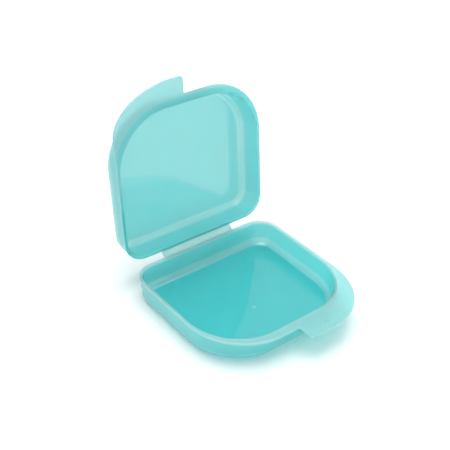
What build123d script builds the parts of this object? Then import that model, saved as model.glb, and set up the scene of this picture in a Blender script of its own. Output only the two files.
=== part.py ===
from build123d import *
from math import cos, radians, sin
import os

os.makedirs("parts", exist_ok=True)

# Retainer case, moulded in one piece: a base half, a lid half of the same shape,
# and a hinge strap with a thin web at each end. All sizes are in millimetres.
# The origin is the centre of the base's flat underside, the lid stands open behind it.

# Plan of one half, seen on its rim plane
case_width = 76.0           # across the side walls
wall_depth = 66.8           # from the back wall's face to the front wall's face
back_corner_radius = 10.0
front_corner_radius = 26.2  # of the walls
lip_reach = 2.7             # how far the front lip stands out past the front wall
lip_corner_radius = 27.1

# Section of one half
shell_height = 12.4         # from the rim plane to the flat outside face
wall_thickness = 1.2
rim_thickness = 1.2
rim_inset = 0.2             # the rim's inner edge stands in from the wall's inner face
draft_angle = 8.0
bottom_radius = 4.0         # where the walls run into the flat outside face

# Thumb tab, on one side of the front only
tab_reach = 7.8             # past the lip's front edge
tab_root = 48.2             # the tab's solid starts here, where it is wide enough
tab_corner_radius = 1.2
base_tab_curve_start = 48.2 # where its edge leaves the line of the side wall, from the back
base_tab_curve_width = 26.6 # half width of the curve from the side to the front
base_tab_inner_end = -2.0   # its square end, from the middle of the case
lid_tab_curve_start = 57.4
lid_tab_curve_width = 30.7
lid_tab_inner_end = 2.4
dimple_length = 3.0
dimple_width = 1.9
dimple_depth = 0.4
dimple_side = 9.3           # from the middle of the case
dimple_from_lip = 3.8       # in front of the lip's front edge

# Gate mark, a small round recess in the base's underside
gate_radius = 0.8
gate_depth = 0.3
gate_forward = 6.2          # in front of the middle of the base

# Hinge
open_angle = 97.4           # between the two rim planes, as the case stands
closed_gap = 0.3            # between the two rim planes when the case is shut
strap_width = 38.2
strap_thickness = 0.9
web_thickness = 0.5
web_length = 0.8            # from the axis to the strap's thick middle
axis_behind = 1.0           # the web's axis, behind the back wall's face
axis_below = 1.35           # the web's axis, below the rim plane
land_thickness = 0.9
hinge_clearance = 0.1       # between a land and the web's rounded end

# Worked out from the sizes above
half_turn = open_angle / 2
strap_length = 2 * axis_below + closed_gap
half_depth = wall_depth / 2
lip_front = wall_depth + lip_reach
tab_front = lip_front + tab_reach

# The base's rim plane, its own y = 0 on the back wall's face
base_plane = Plane(origin=(0, half_depth, shell_height), x_dir=(1, 0, 0), z_dir=(0, 0, 1))

# The base's web axis, and the lid's one strap length away from it
axis_y = half_depth + axis_behind
axis_z = shell_height - axis_below
lean = radians(half_turn)
lid_axis_y = axis_y + strap_length * sin(lean)
lid_axis_z = axis_z + strap_length * cos(lean)

# The lid's rim plane, turned back from shut by the open angle
turn = radians(open_angle)
lid_edge_y = lid_axis_y - axis_behind * cos(turn) - axis_below * sin(turn)
lid_edge_z = lid_axis_z + axis_behind * sin(turn) - axis_below * cos(turn)
lid_plane = Plane(
    origin=(0, lid_edge_y, lid_edge_z),
    x_dir=(-1, 0, 0),
    z_dir=(0, -sin(turn), -cos(turn)),
)

# The strap's section plane: its own x runs from the base's axis to the lid's
strap_plane = Plane(
    origin=(-strap_width / 2, axis_y, axis_z),
    x_dir=(0, sin(lean), cos(lean)),
    z_dir=(1, 0, 0),
)


def draw_outline(width, depth, back_radius, front_radius, inset=0.0):
    """A rounded outline in the open sketch, its back edge on y = 0 before the inset."""
    with BuildSketch(mode=Mode.PRIVATE) as outline:
        with Locations((0, -depth / 2)):
            Rectangle(width - 2 * inset, depth - 2 * inset)
        fillet(outline.vertices().group_by(Axis.Y)[-1], back_radius - inset)
        fillet(outline.vertices().group_by(Axis.Y)[0], front_radius - inset)
    return outline.sketch


def draw_walls(inset=0.0):
    return draw_outline(case_width, wall_depth, back_corner_radius, front_corner_radius, inset)


def draw_lip():
    return draw_outline(case_width, lip_front, back_corner_radius, lip_corner_radius)


def make_block(rim_plane, inset, depth, edge_radius):
    """The tapered and rounded block that a tray, or the hollow in it, fills below the rim."""
    with BuildPart() as block:
        with BuildSketch(rim_plane.offset(-rim_thickness)):
            add(draw_walls(inset))
        extrude(amount=-(depth - rim_thickness), taper=draft_angle)
        ends = block.faces().filter_by(GeomType.PLANE).sort_by(Axis(rim_plane.origin, rim_plane.z_dir))
        fillet(ends[0].edges(), edge_radius)
    return block.part


def make_tray(rim_plane, with_gate_mark):
    """The floor and walls of one half, below its rim."""
    with BuildPart() as tray:
        add(make_block(rim_plane, 0.0, shell_height, bottom_radius))
        add(make_block(rim_plane, wall_thickness, shell_height - wall_thickness,
                       bottom_radius - wall_thickness), mode=Mode.SUBTRACT)
        if with_gate_mark:
            with BuildSketch(rim_plane.offset(-shell_height)):
                with Locations((0, -half_depth - gate_forward)):
                    Circle(gate_radius)
            extrude(amount=gate_depth, mode=Mode.SUBTRACT)
    return tray.part


def make_rim(rim_plane):
    """The flat rim of one half, with the front lip that stands out past the wall."""
    with BuildPart() as rim:
        with BuildSketch(rim_plane):
            add(draw_lip())
            add(draw_walls(wall_thickness + rim_inset), mode=Mode.SUBTRACT)
        extrude(amount=-rim_thickness)
    return rim.part


def make_tab(rim_plane, curve_start, curve_width, inner_end, with_dimple):
    """The thumb tab, level with the rim and face to face with its outer edge."""
    side = case_width / 2
    with BuildPart() as tab:
        with BuildSketch(rim_plane):
            with Locations((side, -tab_root)):
                Rectangle(side - inner_end, tab_front - tab_root, align=(Align.MAX, Align.MAX))
            with Locations((side, -curve_start)):
                Rectangle(curve_width, tab_front - curve_start, align=(Align.MAX, Align.MAX),
                          mode=Mode.SUBTRACT)
            with Locations((side - curve_width, -curve_start)):
                Ellipse(curve_width, tab_front - curve_start)
            with Locations((side, -tab_root)):
                Rectangle(side - inner_end, tab_front - tab_root, align=(Align.MAX, Align.MAX),
                          mode=Mode.INTERSECT)
            add(draw_lip(), mode=Mode.SUBTRACT)
        extrude(amount=-rim_thickness)
        upright = tab.edges().filter_by(Axis(rim_plane.origin, rim_plane.z_dir))
        outer = upright.group_by(Axis(rim_plane.origin, rim_plane.y_dir))[0]
        fillet(outer.group_by(Axis(rim_plane.origin, rim_plane.x_dir))[0], tab_corner_radius)
        if with_dimple:
            with BuildSketch(rim_plane):
                with Locations((dimple_side, -lip_front - dimple_from_lip)):
                    Ellipse(dimple_length / 2, dimple_width / 2)
            extrude(amount=-dimple_depth, mode=Mode.SUBTRACT)
    return tab.part


def make_land(rim_plane):
    """The ledge behind the back wall that the hinge's web grows from."""
    reach = axis_behind - web_thickness / 2 - hinge_clearance
    with BuildPart() as land:
        with BuildSketch(rim_plane.offset(-axis_below + land_thickness / 2)):
            with Locations((0, reach)):
                Rectangle(strap_width, reach + wall_thickness / 2, align=(Align.CENTER, Align.MAX))
        extrude(amount=-land_thickness)
        with BuildSketch(rim_plane):
            add(draw_lip())
        extrude(amount=-rim_thickness, mode=Mode.SUBTRACT)
        add(make_block(rim_plane, 0.0, shell_height, bottom_radius), mode=Mode.SUBTRACT)
    return land.part


def make_web(section_plane, axis_at, strap_at):
    """A thin web: rounded about its axis, square where it meets the strap."""
    with BuildPart() as web:
        with BuildSketch(section_plane):
            with Locations((axis_at, 0)):
                Circle(web_thickness / 2)
            with Locations(((axis_at + strap_at) / 2, 0)):
                Rectangle(abs(strap_at - axis_at), web_thickness)
        extrude(amount=strap_width)
    return web.part


# The base half
base_tray = make_tray(base_plane, with_gate_mark=True)
base_tray.label = "base_tray"
base_rim = make_rim(base_plane)
base_rim.label = "base_rim"
base_thumb_tab = make_tab(base_plane, base_tab_curve_start, base_tab_curve_width,
                          base_tab_inner_end, with_dimple=True)
base_thumb_tab.label = "base_thumb_tab"
base_hinge_land = make_land(base_plane)
base_hinge_land.label = "base_hinge_land"

# The hinge
with BuildPart() as hinge_strap:
    with BuildSketch(strap_plane):
        with Locations((strap_length / 2, 0)):
            Rectangle(strap_length - 2 * web_length, strap_thickness)
    extrude(amount=strap_width)
hinge_strap.part.label = "hinge_strap"
base_hinge_web = make_web(strap_plane, 0, web_length)
base_hinge_web.label = "base_hinge_web"
lid_hinge_web = make_web(strap_plane, strap_length, strap_length - web_length)
lid_hinge_web.label = "lid_hinge_web"

# The lid half
lid_tray = make_tray(lid_plane, with_gate_mark=False)
lid_tray.label = "lid_tray"
lid_rim = make_rim(lid_plane)
lid_rim.label = "lid_rim"
lid_thumb_tab = make_tab(lid_plane, lid_tab_curve_start, lid_tab_curve_width,
                         lid_tab_inner_end, with_dimple=False)
lid_thumb_tab.label = "lid_thumb_tab"
lid_hinge_land = make_land(lid_plane)
lid_hinge_land.label = "lid_hinge_land"

export_step(base_tray, "parts/base_tray.step")
export_step(base_rim, "parts/base_rim.step")
export_step(base_thumb_tab, "parts/base_thumb_tab.step")
export_step(base_hinge_land, "parts/base_hinge_land.step")
export_step(hinge_strap.part, "parts/hinge_strap.step")
export_step(base_hinge_web, "parts/base_hinge_web.step")
export_step(lid_hinge_web, "parts/lid_hinge_web.step")
export_step(lid_tray, "parts/lid_tray.step")
export_step(lid_rim, "parts/lid_rim.step")
export_step(lid_thumb_tab, "parts/lid_thumb_tab.step")
export_step(lid_hinge_land, "parts/lid_hinge_land.step")

print("hinge axes", round(axis_y, 4), round(axis_z, 4), round(lid_axis_y, 4), round(lid_axis_z, 4))
print("lid edge", round(lid_edge_y, 3), round(lid_edge_z, 3))
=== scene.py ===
import bpy
import bmesh
from math import cos, hypot, pi, radians, sin, tan
from mathutils import Matrix, Vector


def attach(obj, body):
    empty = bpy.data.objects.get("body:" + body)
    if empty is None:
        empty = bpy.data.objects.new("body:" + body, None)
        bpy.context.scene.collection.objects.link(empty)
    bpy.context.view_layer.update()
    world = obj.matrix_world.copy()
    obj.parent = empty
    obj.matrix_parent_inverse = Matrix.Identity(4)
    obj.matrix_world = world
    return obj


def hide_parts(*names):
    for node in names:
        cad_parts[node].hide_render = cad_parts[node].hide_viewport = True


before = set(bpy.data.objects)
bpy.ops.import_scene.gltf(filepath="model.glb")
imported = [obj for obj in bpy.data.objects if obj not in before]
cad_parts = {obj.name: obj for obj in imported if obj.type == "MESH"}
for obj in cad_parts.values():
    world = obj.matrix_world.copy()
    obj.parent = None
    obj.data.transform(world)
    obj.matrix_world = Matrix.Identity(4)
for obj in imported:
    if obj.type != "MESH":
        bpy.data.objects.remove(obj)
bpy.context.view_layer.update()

mm = 0.001
tolerance = 1e-4    # of a millimetre, for telling which points lie in one plane
weld = 0.001        # millimetres, for joining the loops of two drawings

# one half of the case, in millimetres, seen on its own rim plane:
# the back edge lies on y = 0, the hollow goes down from z = 0
half = {
    "width": 76.0,
    "wallDepth": 66.8,
    "backRadius": 10.0,
    "wallRadius": 26.2,
    "lipFront": 69.5,
    "lipRadius": 27.1,
    "tabFront": 77.3,
    "tabEndRadius": 1.2,
    "tabNotchRadius": 0.5,
    "height": 12.4,
    "rim": 1.2,
    "rimWidth": 1.4,
    "rimEdge": 0.3,      # rounding of the rim's edges
    "flatStrip": 0.06,   # beside each rounding, so that the flats shade flat
    "rimLean": 0.04,     # the rim's inner side leans in this much
    "rimDrop": 0.3,      # over this height, before it meets the wall
    "wall": 1.2,
    "draft": 8.0,
    "innerFillet": 2.8,  # where the wall meets the floor, inside
    "floorStrip": 0.25,  # flat strip between the fillet and the floor
    "underEdge": 0.42,   # how far the wall stands in under the rim
    "underLean": 0.02,
    "underDrop": 0.3,
    "underBlend": 1.2,   # height over which it comes back to the wall's own line
    "openAngle": 97.4,
}
# how many segments each rounding has
segments = {
    "back": 12,
    "front": 26,
    "tab": 34,
    "tabEnd": 6,
    "notch": 4,
    "fillet": 9,
    "gate": 20,
    "dimple": 28,
}
edgeArc = (pi / 6, pi / 3, pi / 2)

# rimShade: the least depth that the material reads on the rim and tab, so how little painted light they
# get;
# floorShade: the depth that it reads on the floor, which sets its painted shade; band: how deep the
# painted shade is above the wall
baseTab = {
    "sideStart": 48.2,
    "curveWidth": 26.6,
    "innerEnd": -2.0,
    "rimShade": 0.0,
    "floorShade": 1.0,
    "band": 0.0,
}
lidTab = {
    "sideStart": 57.4,
    "curveWidth": 30.7,
    "innerEnd": 2.4,
    "rimShade": 0.085,
    "floorShade": 0.903,
    "band": 0.85,
}
floorFrom = 0.9     # share of the height below which a point belongs to the floor

# the oval on the base's tab; its middle is marked from startDown to endDown below the rim plane, and shade
# is the depth it reads there: a painted shade, less pale than the tab around it
dimple = {
    "x": 9.3,
    "beyondLip": 3.8,
    "length": 3.0,
    "width": 1.9,
    "depth": 0.4,
    "shade": 0.09,
    "startDown": 0.1,
    "endDown": 0.5,
}
gate = {"y": -39.6, "radius": 0.8, "depth": 0.3}
# steps in from the edge of a dint, in millimetres, and the share of its depth that each goes down
dintSteps = ((0.04, 0.0), (0.08, 0.35), (0.12, 0.4), (0.16, 0.25))


def roundCorner(bm, x, y, radius, count):
    corner = min(bm.verts, key=lambda v: (v.co.x - x) ** 2 + (v.co.y - y) ** 2)
    bmesh.ops.bevel(bm, geom=[corner], offset=radius, segments=count, profile=0.5,
                    affect="VERTICES", clamp_overlap=False, material=-1)


def drawWalls(inset, depth):
    bm = bmesh.new()
    side = half["width"] / 2 - inset
    front = inset - half["wallDepth"]
    corners = [(-side, -inset), (side, -inset), (side, front), (-side, front)]
    bm.faces.new([bm.verts.new((x, y, 0)) for x, y in corners])
    for x, y in corners[:2]:
        roundCorner(bm, x, y, half["backRadius"] - inset, segments["back"])
    for x, y in corners[2:]:
        roundCorner(bm, x, y, half["wallRadius"] - inset, segments["front"])
    bmesh.ops.translate(bm, verts=bm.verts, vec=(0, 0, -depth))
    return bm


def drawRim(tab, depth):
    bm = bmesh.new()
    side = half["width"] / 2
    end = tab["innerEnd"]
    lip = -half["lipFront"]
    front = -half["tabFront"]
    corners = [(-side, 0), (side, 0), (side, front), (end, front), (end, lip), (-side, lip)]
    bm.faces.new([bm.verts.new((x, y, 0)) for x, y in corners])
    # the tab's curve is a quarter of an ellipse: a round corner in a squeezed drawing
    squeeze = tab["curveWidth"] / (half["tabFront"] - tab["sideStart"])
    bmesh.ops.scale(bm, verts=bm.verts, vec=(1, squeeze, 1))
    roundCorner(bm, side, front * squeeze, tab["curveWidth"], segments["tab"])
    bmesh.ops.scale(bm, verts=bm.verts, vec=(1, 1 / squeeze, 1))
    roundCorner(bm, end, front, half["tabEndRadius"], segments["tabEnd"])
    roundCorner(bm, end, lip, half["tabNotchRadius"], segments["notch"])
    roundCorner(bm, -side, lip, half["lipRadius"], segments["front"])
    for x in (-side, side):
        roundCorner(bm, x, 0, half["backRadius"], segments["back"])
    bmesh.ops.translate(bm, verts=bm.verts, vec=(0, 0, -depth))
    return bm


def insetFace(bm, face, thickness, down):
    bmesh.ops.inset_region(bm, faces=[face], thickness=thickness, depth=0,
                           use_even_offset=True, use_boundary=True)
    bmesh.ops.translate(bm, verts=face.verts, vec=(0, 0, -down))


def sinkRings(bm, profile):
    # each step of the profile: where the ring lies, in from the outline and below the rim plane
    face = max(bm.faces, key=lambda f: f.calc_area())
    for (nearIn, nearDown), (farIn, farDown) in zip(profile, profile[1:]):
        insetFace(bm, face, farIn - nearIn, farDown - nearDown)
    return face


def wallArc(radius, outerIn, floor):
    # the drafted wall and the arc into the floor, as profile points; outerIn is the wall's top
    slope = tan(radians(half["draft"]))
    arcDown = floor - radius
    wallDown = arcDown + radius * sin(radians(half["draft"]))
    wallIn = outerIn + (wallDown - half["rim"]) * slope
    arcIn = wallIn + radius * cos(radians(half["draft"]))
    count = segments["fillet"]
    angles = [radians(half["draft"] + (90 - half["draft"]) * i / count) for i in range(count + 1)]
    points = [(arcIn - radius * cos(a), arcDown + radius * sin(a)) for a in angles]
    return points + [(arcIn + half["floorStrip"], floor)]


def hollowProfile():
    edge = half["rimEdge"]
    start = half["rimWidth"] - edge
    profile = [(start - half["flatStrip"], 0), (start, 0)]
    profile += [(start + edge * sin(a), edge - edge * cos(a)) for a in edgeArc]
    profile += [(half["rimWidth"] + half["rimLean"], edge + half["rimDrop"])]
    return profile + wallArc(half["innerFillet"], half["wall"], half["height"] - half["wall"])


def shellProfile():
    slope = tan(radians(half["draft"]))
    blendIn = half["underEdge"] + half["underBlend"] * slope
    profile = [(half["underEdge"], half["rim"])]
    profile += [(half["underEdge"] + half["underLean"], half["rim"] + half["underDrop"])]
    profile += [(blendIn, half["rim"] + blendIn / slope)]
    return profile + wallArc(half["innerFillet"] + half["wall"], 0, half["height"])


def edgeProfile(fromDown, toDown):
    # the rim's outer edge, from its upright middle to a flat face
    edge = half["rimEdge"]
    sign = 1 if toDown > fromDown else -1
    profile = [(0, fromDown)]
    profile += [(edge - edge * cos(a), toDown - sign * (edge - edge * sin(a))) for a in (0,) + edgeArc]
    profile += [(edge + half["flatStrip"], toDown)]
    return profile


def openFace(bm, face):
    bmesh.ops.delete(bm, geom=[face], context="FACES_ONLY")


def join(bm, other):
    mesh = bpy.data.meshes.new("part")
    other.to_mesh(mesh)
    other.free()
    bm.from_mesh(mesh)
    bpy.data.meshes.remove(mesh)


def fillFlat(bm, down):
    # closes the flat between the open loops that lie at one depth
    loops = [e for e in bm.edges if e.is_boundary and all(abs(v.co.z + down) < tolerance for v in e.verts)]
    bmesh.ops.triangle_fill(bm, use_beauty=True, use_dissolve=False, edges=loops)


def sunkRound(x, y, down, across, along, depth, count):
    # a small round or oval dint, its own upper edge left open
    bm = bmesh.new()
    bmesh.ops.create_circle(bm, cap_ends=True, radius=0.5, segments=count)
    bmesh.ops.scale(bm, verts=bm.verts, vec=(across, along, 1))
    bmesh.ops.translate(bm, verts=bm.verts, vec=(x, y, -down))
    face = bm.faces[:][0]
    for inward, share in dintSteps:
        insetFace(bm, face, inward, depth * share)
    return bm


def reachPastWalls(x, y):
    # distance out from the walls' outline, less than nothing inside it
    radius = half["backRadius"] if y > -half["wallDepth"] / 2 else half["wallRadius"]
    sideways = abs(x) - half["width"] / 2 + radius
    lengthways = abs(y + half["wallDepth"] / 2) - half["wallDepth"] / 2 + radius
    return hypot(max(sideways, 0), max(lengthways, 0)) + min(max(sideways, lengthways), 0) - radius


def inDimple(place):
    fromMiddle = hypot(place.x - dimple["x"], place.y + half["lipFront"] + dimple["beyondLip"])
    return dimple["startDown"] < -place.z < dimple["endDown"] and fromMiddle < dimple["length"] / 2


def markPlaces(bm, tab, isBase):
    # the material reads how deep and how far out each point of a half lies
    depth = bm.verts.layers.float.new("depth")
    reach = bm.verts.layers.float.new("reach")
    band = bm.verts.layers.float.new("band")
    for vert in bm.verts:
        vert[reach] = reachPastWalls(vert.co.x, vert.co.y)
        # the depth is raised on the rim and tab and set on the floor and in the dimple, which paints light
        # and shade there
        vert[depth] = max(-vert.co.z / half["height"], tab["rimShade"])
        if vert[depth] > floorFrom:
            vert[depth] = tab["floorShade"]
        vert[band] = tab["band"]
        if isBase and inDimple(vert.co):
            vert[depth] = dimple["shade"]


def mouldHalf(name, tab, isBase):
    middle = half["rim"] / 2
    bm = drawRim(tab, middle)
    openFace(bm, sinkRings(bm, edgeProfile(middle, 0)))
    under = drawRim(tab, middle)
    openFace(under, sinkRings(under, edgeProfile(middle, half["rim"])))
    join(bm, under)

    hollow = drawWalls(half["rimWidth"] - half["rimEdge"] - half["flatStrip"], 0)
    sinkRings(hollow, hollowProfile())
    join(bm, hollow)

    shell = drawWalls(half["underEdge"], half["rim"])
    shellFloor = sinkRings(shell, shellProfile())
    if isBase:
        openFace(shell, shellFloor)
        wide = 2 * gate["radius"]
        join(bm, sunkRound(0, gate["y"], half["height"], wide, wide, -gate["depth"], segments["gate"]))
        join(bm, sunkRound(dimple["x"], -half["lipFront"] - dimple["beyondLip"], 0,
                           dimple["length"], dimple["width"], dimple["depth"], segments["dimple"]))
    join(bm, shell)

    bmesh.ops.remove_doubles(bm, verts=bm.verts, dist=weld)
    fillFlat(bm, 0)
    fillFlat(bm, half["rim"])
    if isBase:
        fillFlat(bm, half["height"])
    bmesh.ops.recalc_face_normals(bm, faces=bm.faces)
    reportMesh(name, bm)
    markPlaces(bm, tab, isBase)
    return bm


def reportMesh(name, bm):
    openEdges = sum(1 for e in bm.edges if not e.is_manifold)
    print(name, "faces", len(bm.faces), "open edges", openEdges)


def intoFrame(bm, origin, right, forward, up):
    # from a drawing in millimetres to its place in the frame, in metres
    turn = Matrix((right, forward, up)).transposed().to_4x4()
    move = Matrix.Translation(origin * mm) @ turn @ Matrix.Scale(mm, 4)
    bmesh.ops.transform(bm, matrix=move, verts=bm.verts)


def makePiece(bm, name, material):
    for face in bm.faces:
        face.smooth = True
    mesh = bpy.data.meshes.new(name)
    bm.to_mesh(mesh)
    bm.free()
    piece = bpy.data.objects.new(name, mesh)
    bpy.context.scene.collection.objects.link(piece)
    mesh.materials.append(material)
    return piece


# the hinge: a strap with a thin web at each end, drawn along x from the base's axis to the lid's
hinge = {
    "width": 38.2,
    "behind": 1.0,
    "below": 1.35,
    "length": 3.0,
    "webRadius": 0.25,
    "webRound": 0.245,   # a little under the radius, so that the two corners stay apart
    "webSegments": 6,
    "webLength": 0.8,
    "strap": 0.9,
    "edge": 0.15,
    "edgeSegments": 3,
    "endEdge": 0.08,
    "endSegments": 2,
}


def mouldHinge():
    web = hinge["webRadius"]
    thick = hinge["strap"] / 2
    near = hinge["webLength"]
    far = hinge["length"] - near
    tip = hinge["length"] + web
    side = hinge["width"] / 2
    bm = bmesh.new()
    under = [(-web, -web), (near, -web), (near, -thick), (far, -thick), (far, -web), (tip, -web)]
    corners = under + [(x, -y) for x, y in reversed(under)]
    bm.faces.new([bm.verts.new((x, y, 0)) for x, y in corners])
    for x in (-web, tip):
        for y in (-web, web):
            roundCorner(bm, x, y, hinge["webRound"], hinge["webSegments"])
    for x in (near, far):
        for y in (-thick, thick):
            roundCorner(bm, x, y, hinge["edge"], hinge["edgeSegments"])
    made = bmesh.ops.extrude_face_region(bm, geom=bm.faces[:1], use_keep_orig=True)
    top = [g for g in made["geom"] if isinstance(g, bmesh.types.BMVert)]
    bmesh.ops.translate(bm, verts=top, vec=(0, 0, hinge["width"]))
    bmesh.ops.translate(bm, verts=bm.verts, vec=(0, 0, -side))
    bmesh.ops.recalc_face_normals(bm, faces=bm.faces)
    ends = [e for e in bm.edges if all(abs(abs(v.co.z) - side) < tolerance for v in e.verts)]
    bmesh.ops.bevel(bm, geom=ends, offset=hinge["endEdge"], segments=hinge["endSegments"], profile=0.5,
                    affect="EDGES", clamp_overlap=True, material=-1)
    reportMesh("hinge", bm)
    return bm


# materials
plastic = {
    "colour": (0.18, 0.745, 0.75, 1.0),
    "cloudAndShadeColour": (0.085, 0.81, 0.84, 1.0),
    "paintedLightAndGateColour": (0.55, 0.88, 0.865, 1.0),
    "roughness": 0.6,
    "ripple": 0.03,
    "grain": 0.25,
    "transmission": 0.65,
    "haze": 1.0,         # light scattered inside the wall
    "hazeDepth": 0.009,
    "gloss": 0.4,
    "bend": 1.05,        # how far light bends on its way through
    "coat": 1.0,
    "coatRoughness": 0.03,
    "coatBend": 1.72,
}
# the lid's colours are a painted-light copy of the same plastic: the lid is seen against the light, the
# base with light from one side only
backlitLidLook = dict(
    plastic,
    colour=(0.215, 0.665, 0.668, 1.0),
    cloudAndShadeColour=(0.07, 0.66, 0.67, 1.0),
    paintedLightAndGateColour=(0.45, 0.785, 0.775, 1.0),
)

# painted light and shade by share of a half's depth: how pale the colour is on the rim and in painted
# highlight lines along each fillet, and how deep its painted shade is on the base's floor
paintedLightStops = (
    (0.0, 0.8), (0.06, 0.8), (0.11, 0.0),
    (0.66, 0.0), (0.71, 0.5), (0.76, 0.25), (0.81, 0.4), (0.85, 0.2), (0.885, 0.4), (0.902, 0.0),
)
paintedFloorShadeStops = ((0.0, 0.0), (0.91, 0.0), (1.0, 0.5))
# spans say from where to where a value runs, and from what to what its result does
# paleLip scales the painted light: more of it inside the walls, less out on the lip
paleLip = (-0.2, 0.4, 1.25, 0.72)    # over the reach past the walls, in millimetres
# the painted shade band where the rim has the wall behind it: its middle in the reach, and its two sides
bandMiddle = 0.1
bandSpan = (0.6, 1.9, 1.0, 0.0)
# the pale spot where the plastic was let in: its place in the frame and its rim, in metres
gateSpot = (0.0, -0.0062, 0.0006)
gateSpan = (0.0007, 0.0013, 0.7, 0.0)
# slow changes of tint and gloss, then the ripple and grain in the surface, sized per metre
cloud = {"scale": 38, "detail": 3, "span": (0.3, 0.7, 0.0, 0.22)}
mottle = {"scale": 160, "detail": 4, "span": (0.0, 1.0, 0.88, 1.12)}
ripple = {"scale": 22, "detail": 1, "height": 0.0006}
grain = {"scale": 2600, "detail": 2, "height": 0.00004}
# Deep Colour serves the clouds and the painted shade, and Pale Colour serves the painted light and the
# gate's spot
groupInputs = (
    ("Colour", "NodeSocketColor"),
    ("Deep Colour", "NodeSocketColor"),
    ("Pale Colour", "NodeSocketColor"),
    ("Roughness", "NodeSocketFloat"),
    ("Ripple", "NodeSocketFloat"),
    ("Grain", "NodeSocketFloat"),
)
groupOutputs = (
    ("Colour", "NodeSocketColor"),
    ("Roughness", "NodeSocketFloat"),
    ("Normal", "NodeSocketVector"),
)


def feed(tree, socket, value):
    # a socket takes either another node's output or a plain value
    if isinstance(value, bpy.types.NodeSocket):
        tree.links.new(value, socket)
    else:
        socket.default_value = value


def reckon(tree, operation, first, second=0.0, clamp=False):
    node = tree.nodes.new("ShaderNodeMath")
    node.operation = operation
    node.use_clamp = clamp
    feed(tree, node.inputs[0], first)
    feed(tree, node.inputs[1], second)
    return node.outputs["Value"]


def mapSpan(tree, value, span):
    node = tree.nodes.new("ShaderNodeMapRange")
    feed(tree, node.inputs["Value"], value)
    for label, bound in zip(("From Min", "From Max", "To Min", "To Max"), span):
        feed(tree, node.inputs[label], bound)
    return node.outputs["Result"]


def readLayer(tree, name):
    node = tree.nodes.new("ShaderNodeAttribute")
    node.attribute_name = name
    return node.outputs["Fac"]


def mapStops(tree, value, levels):
    node = tree.nodes.new("ShaderNodeValToRGB")
    stops = node.color_ramp.elements
    for stop, (position, level) in zip(stops, (levels[0], levels[-1])):
        stop.position = position
        stop.color = (level, level, level, 1)
    for position, level in levels[1:-1]:
        stops.new(position).color = (level, level, level, 1)
    feed(tree, node.inputs["Fac"], value)
    return node.outputs["Color"]


def mixColour(tree, share, first, second):
    node = tree.nodes.new("ShaderNodeMix")
    node.data_type = "RGBA"
    feed(tree, node.inputs["Factor"], share)
    feed(tree, node.inputs["A"], first)
    feed(tree, node.inputs["B"], second)
    return node.outputs["Result"]


def addNoise(tree, place, settings):
    node = tree.nodes.new("ShaderNodeTexNoise")
    feed(tree, node.inputs["Vector"], place)
    feed(tree, node.inputs["Scale"], settings["scale"])
    feed(tree, node.inputs["Detail"], settings["detail"])
    return node.outputs["Fac"]


def addBump(tree, place, settings, strength):
    node = tree.nodes.new("ShaderNodeBump")
    feed(tree, node.inputs["Distance"], settings["height"])
    feed(tree, node.inputs["Strength"], strength)
    feed(tree, node.inputs["Height"], addNoise(tree, place, settings))
    return node


def surfaceGroup():
    group = bpy.data.node_groups.new("mouldedSurface", "ShaderNodeTree")
    for label, kind in groupInputs:
        group.interface.new_socket(label, in_out="INPUT", socket_type=kind)
    for label, kind in groupOutputs:
        group.interface.new_socket(label, in_out="OUTPUT", socket_type=kind)
    inputs = group.nodes.new("NodeGroupInput").outputs
    outputs = group.nodes.new("NodeGroupOutput").inputs
    place = group.nodes.new("ShaderNodeTexCoord").outputs["Object"]
    depth = readLayer(group, "depth")
    reach = readLayer(group, "reach")

    # faint clouds vary the plastic's own tint at random; the base's floor and the band above the lid's
    # wall get painted shade
    beside = reckon(group, "ABSOLUTE", reckon(group, "SUBTRACT", reach, bandMiddle))
    band = reckon(group, "MULTIPLY", mapSpan(group, beside, bandSpan), readLayer(group, "band"))
    faint = mapSpan(group, addNoise(group, place, cloud), cloud["span"])
    cloudsAndFloorShade = reckon(group, "MAXIMUM", faint, mapStops(group, depth, paintedFloorShadeStops))
    cloudsAndPaintedShade = reckon(group, "MAXIMUM", cloudsAndFloorShade, band)
    tint = mixColour(group, cloudsAndPaintedShade, inputs["Colour"], inputs["Deep Colour"])

    # painted light: paler on the rim and its lip, where light shines through the thin plastic and off its
    # edges, and painted highlight lines along each fillet; the spot at the gate is the mark where the
    # plastic was let in
    paintedLight = reckon(group, "MULTIPLY", mapStops(group, depth, paintedLightStops), mapSpan(group, reach, paleLip))
    paintedLightBesideBand = reckon(group, "SUBTRACT", paintedLight, band, clamp=True)
    fromGate = group.nodes.new("ShaderNodeVectorMath")
    fromGate.operation = "DISTANCE"
    feed(group, fromGate.inputs[0], place)
    feed(group, fromGate.inputs[1], gateSpot)
    spot = mapSpan(group, fromGate.outputs["Value"], gateSpan)
    paintedLightAndGate = reckon(group, "MAXIMUM", paintedLightBesideBand, spot)
    feed(group, outputs["Colour"], mixColour(group, paintedLightAndGate, tint, inputs["Pale Colour"]))

    vary = mapSpan(group, addNoise(group, place, mottle), mottle["span"])
    feed(group, outputs["Roughness"], reckon(group, "MULTIPLY", vary, inputs["Roughness"]))

    rippleBump = addBump(group, place, ripple, inputs["Ripple"])
    grainBump = addBump(group, place, grain, inputs["Grain"])
    feed(group, grainBump.inputs["Normal"], rippleBump.outputs["Normal"])
    feed(group, outputs["Normal"], grainBump.outputs["Normal"])
    return group


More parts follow.
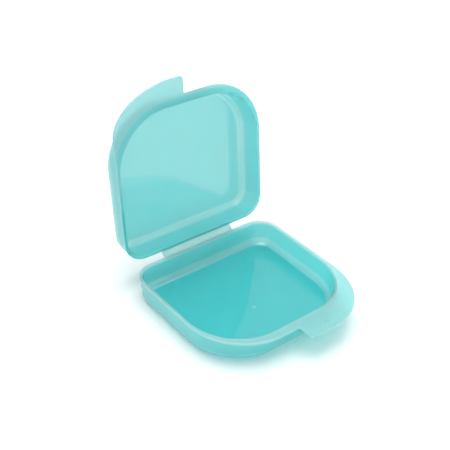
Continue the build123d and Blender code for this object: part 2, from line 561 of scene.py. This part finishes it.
def makePlastic(name, group, look):
    material = bpy.data.materials.new(name)
    material.use_nodes = True
    tree = material.node_tree
    shader = tree.nodes["Principled BSDF"]
    surface = tree.nodes.new("ShaderNodeGroup")
    surface.node_tree = group
    surface.inputs["Colour"].default_value = look["colour"]
    surface.inputs["Deep Colour"].default_value = look["cloudAndShadeColour"]
    surface.inputs["Pale Colour"].default_value = look["paintedLightAndGateColour"]
    surface.inputs["Roughness"].default_value = look["roughness"]
    surface.inputs["Ripple"].default_value = look["ripple"]
    surface.inputs["Grain"].default_value = look["grain"]
    tree.links.new(surface.outputs["Colour"], shader.inputs["Base Color"])
    tree.links.new(surface.outputs["Roughness"], shader.inputs["Roughness"])
    tree.links.new(surface.outputs["Normal"], shader.inputs["Normal"])
    shader.inputs["IOR"].default_value = look["bend"]
    shader.inputs["Transmission Weight"].default_value = look["transmission"]
    shader.inputs["Subsurface Weight"].default_value = look["haze"]
    shader.inputs["Subsurface Radius"].default_value = (1.0, 1.0, 1.0)
    shader.inputs["Subsurface Scale"].default_value = look["hazeDepth"]
    shader.inputs["Specular IOR Level"].default_value = look["gloss"]
    shader.inputs["Coat Weight"].default_value = look["coat"]
    shader.inputs["Coat Roughness"].default_value = look["coatRoughness"]
    shader.inputs["Coat IOR"].default_value = look["coatBend"]
    return material


mouldedSurface = surfaceGroup()
basePlasticMaterial = makePlastic("turquoisePolypropylene", mouldedSurface, plastic)
lidPlasticMaterial = makePlastic("turquoisePolypropyleneLid", mouldedSurface, backlitLidLook)
print("materials made")

# where the hinge's axes and the lid's rim plane lie, in millimetres
halfDepth = half["wallDepth"] / 2
halfTurn = radians(half["openAngle"] / 2)
turnAngle = radians(half["openAngle"])
axisY = halfDepth + hinge["behind"]
axisZ = half["height"] - hinge["below"]
lidAxisY = axisY + hinge["length"] * sin(halfTurn)
lidAxisZ = axisZ + hinge["length"] * cos(halfTurn)
lidEdgeY = lidAxisY - hinge["behind"] * cos(turnAngle) - hinge["below"] * sin(turnAngle)
lidEdgeZ = lidAxisZ + hinge["behind"] * sin(turnAngle) - hinge["below"] * cos(turnAngle)
right, back, upward = Vector((1, 0, 0)), Vector((0, 1, 0)), Vector((0, 0, 1))

baseMesh = mouldHalf("baseMoulding", baseTab, True)
intoFrame(baseMesh, Vector((0, halfDepth, half["height"])), right, back, upward)
baseMoulding = makePiece(baseMesh, "baseMoulding", basePlasticMaterial)
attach(baseMoulding, "base")
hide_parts("base_tray", "base_rim", "base_thumb_tab")

lidMesh = mouldHalf("lidMoulding", lidTab, False)
lidUp = Vector((0, -sin(turnAngle), -cos(turnAngle)))
intoFrame(lidMesh, Vector((0, lidEdgeY, lidEdgeZ)), -right, lidUp.cross(-right), lidUp)
lidMoulding = makePiece(lidMesh, "lidMoulding", lidPlasticMaterial)
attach(lidMoulding, "lid")
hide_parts("lid_tray", "lid_rim", "lid_thumb_tab")

hingeMesh = mouldHinge()
along = Vector((0, sin(halfTurn), cos(halfTurn)))
intoFrame(hingeMesh, Vector((0, axisY, axisZ)), along, right.cross(along), right)
hingeStrap = makePiece(hingeMesh, "hingeStrap", basePlasticMaterial)
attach(hingeStrap, "hinge")
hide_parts("hinge_strap", "base_hinge_web", "lid_hinge_web")

for node, material in (("base_hinge_land", basePlasticMaterial), ("lid_hinge_land", lidPlasticMaterial)):
    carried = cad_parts[node]
    carried.data.materials.clear()
    carried.data.materials.append(material)
print("pieces made")

# floor, light and camera
studio = {
    "floor": 6.0,
    "gap": 0.0001,
    "floorColour": (0.94, 0.94, 0.94, 1),
    "floorRoughness": 0.6,
    "floorGloss": 0.2,
    "worldColour": (1, 1, 1, 1),
    "worldStrength": 0.64,   # of the light that falls on the case
    "worldSeen": 1.0,        # of the background behind it
}
softbox = {"place": (0.15, 0.36, 2.55), "target": (0, 0.01, 0.03), "size": 2.3, "power": 59}


def makeFloor():
    bm = bmesh.new()
    bmesh.ops.create_grid(bm, x_segments=1, y_segments=1, size=studio["floor"] / 2)
    bmesh.ops.translate(bm, verts=bm.verts, vec=(0, 0, -studio["gap"]))
    material = bpy.data.materials.new("paleFloor")
    material.use_nodes = True
    shader = material.node_tree.nodes["Principled BSDF"]
    shader.inputs["Base Color"].default_value = studio["floorColour"]
    shader.inputs["Roughness"].default_value = studio["floorRoughness"]
    shader.inputs["Specular IOR Level"].default_value = studio["floorGloss"]
    floor = makePiece(bm, "floor", material)


def makeWorld():
    world = bpy.data.worlds.new("studioWorld")
    bpy.context.scene.world = world
    world.use_nodes = True
    tree = world.node_tree
    background = tree.nodes["Background"]
    seen = tree.nodes.new("ShaderNodeLightPath").outputs["Is Camera Ray"]
    strength = mapSpan(tree, seen, (0.0, 1.0, studio["worldStrength"], studio["worldSeen"]))
    feed(tree, background.inputs["Color"], studio["worldColour"])
    feed(tree, background.inputs["Strength"], strength)


def addSoftbox():
    light = bpy.data.lights.new("topSoftbox", "AREA")
    light.shape = "RECTANGLE"
    light.size = light.size_y = softbox["size"]
    light.energy = softbox["power"]
    panel = bpy.data.objects.new("topSoftbox", light)
    bpy.context.scene.collection.objects.link(panel)
    panel.location = softbox["place"]
    aim = Vector(softbox["target"]) - Vector(softbox["place"])
    panel.rotation_euler = aim.to_track_quat("-Z", "Y").to_euler()


makeFloor()
makeWorld()
addSoftbox()

# angles in degrees and lengths in millimetres; the distance is from the point looked at
view = {
    "sensor": 36,
    "lens": 66.23,
    "azimuth": -39.723,
    "elevation": 34.609,
    "roll": 2.793,
    "forward": 36.0,         # of the base's back wall, to the point looked at
    "distance": 356.113,
    "right": -11.017,
    "up": 24.718,
}


def placeCamera():
    data = bpy.data.cameras.new("camera")
    data.sensor_width = view["sensor"]
    data.lens = view["lens"]
    camera = bpy.data.objects.new("camera", data)
    bpy.context.scene.collection.objects.link(camera)
    azimuth, rise, lean = (radians(view[k]) for k in ("azimuth", "elevation", "roll"))
    backward = Vector((sin(azimuth) * cos(rise), -cos(azimuth) * cos(rise), sin(rise)))
    level = (-backward).cross(Vector((0, 0, 1))).normalized()
    upright = level.cross(-backward)
    sideways = level * cos(lean) + upright * sin(lean)
    up = upright * cos(lean) - level * sin(lean)
    target = Vector((0, halfDepth - view["forward"], half["height"]))
    place = target + backward * view["distance"] + sideways * view["right"] + up * view["up"]
    turn = Matrix((sideways, up, backward)).transposed().to_4x4()
    camera.matrix_world = Matrix.Translation(place * mm) @ turn
    bpy.context.scene.camera = camera


placeCamera()
bpy.context.scene.view_settings.view_transform = "Standard"
print("floor, lights and camera set")
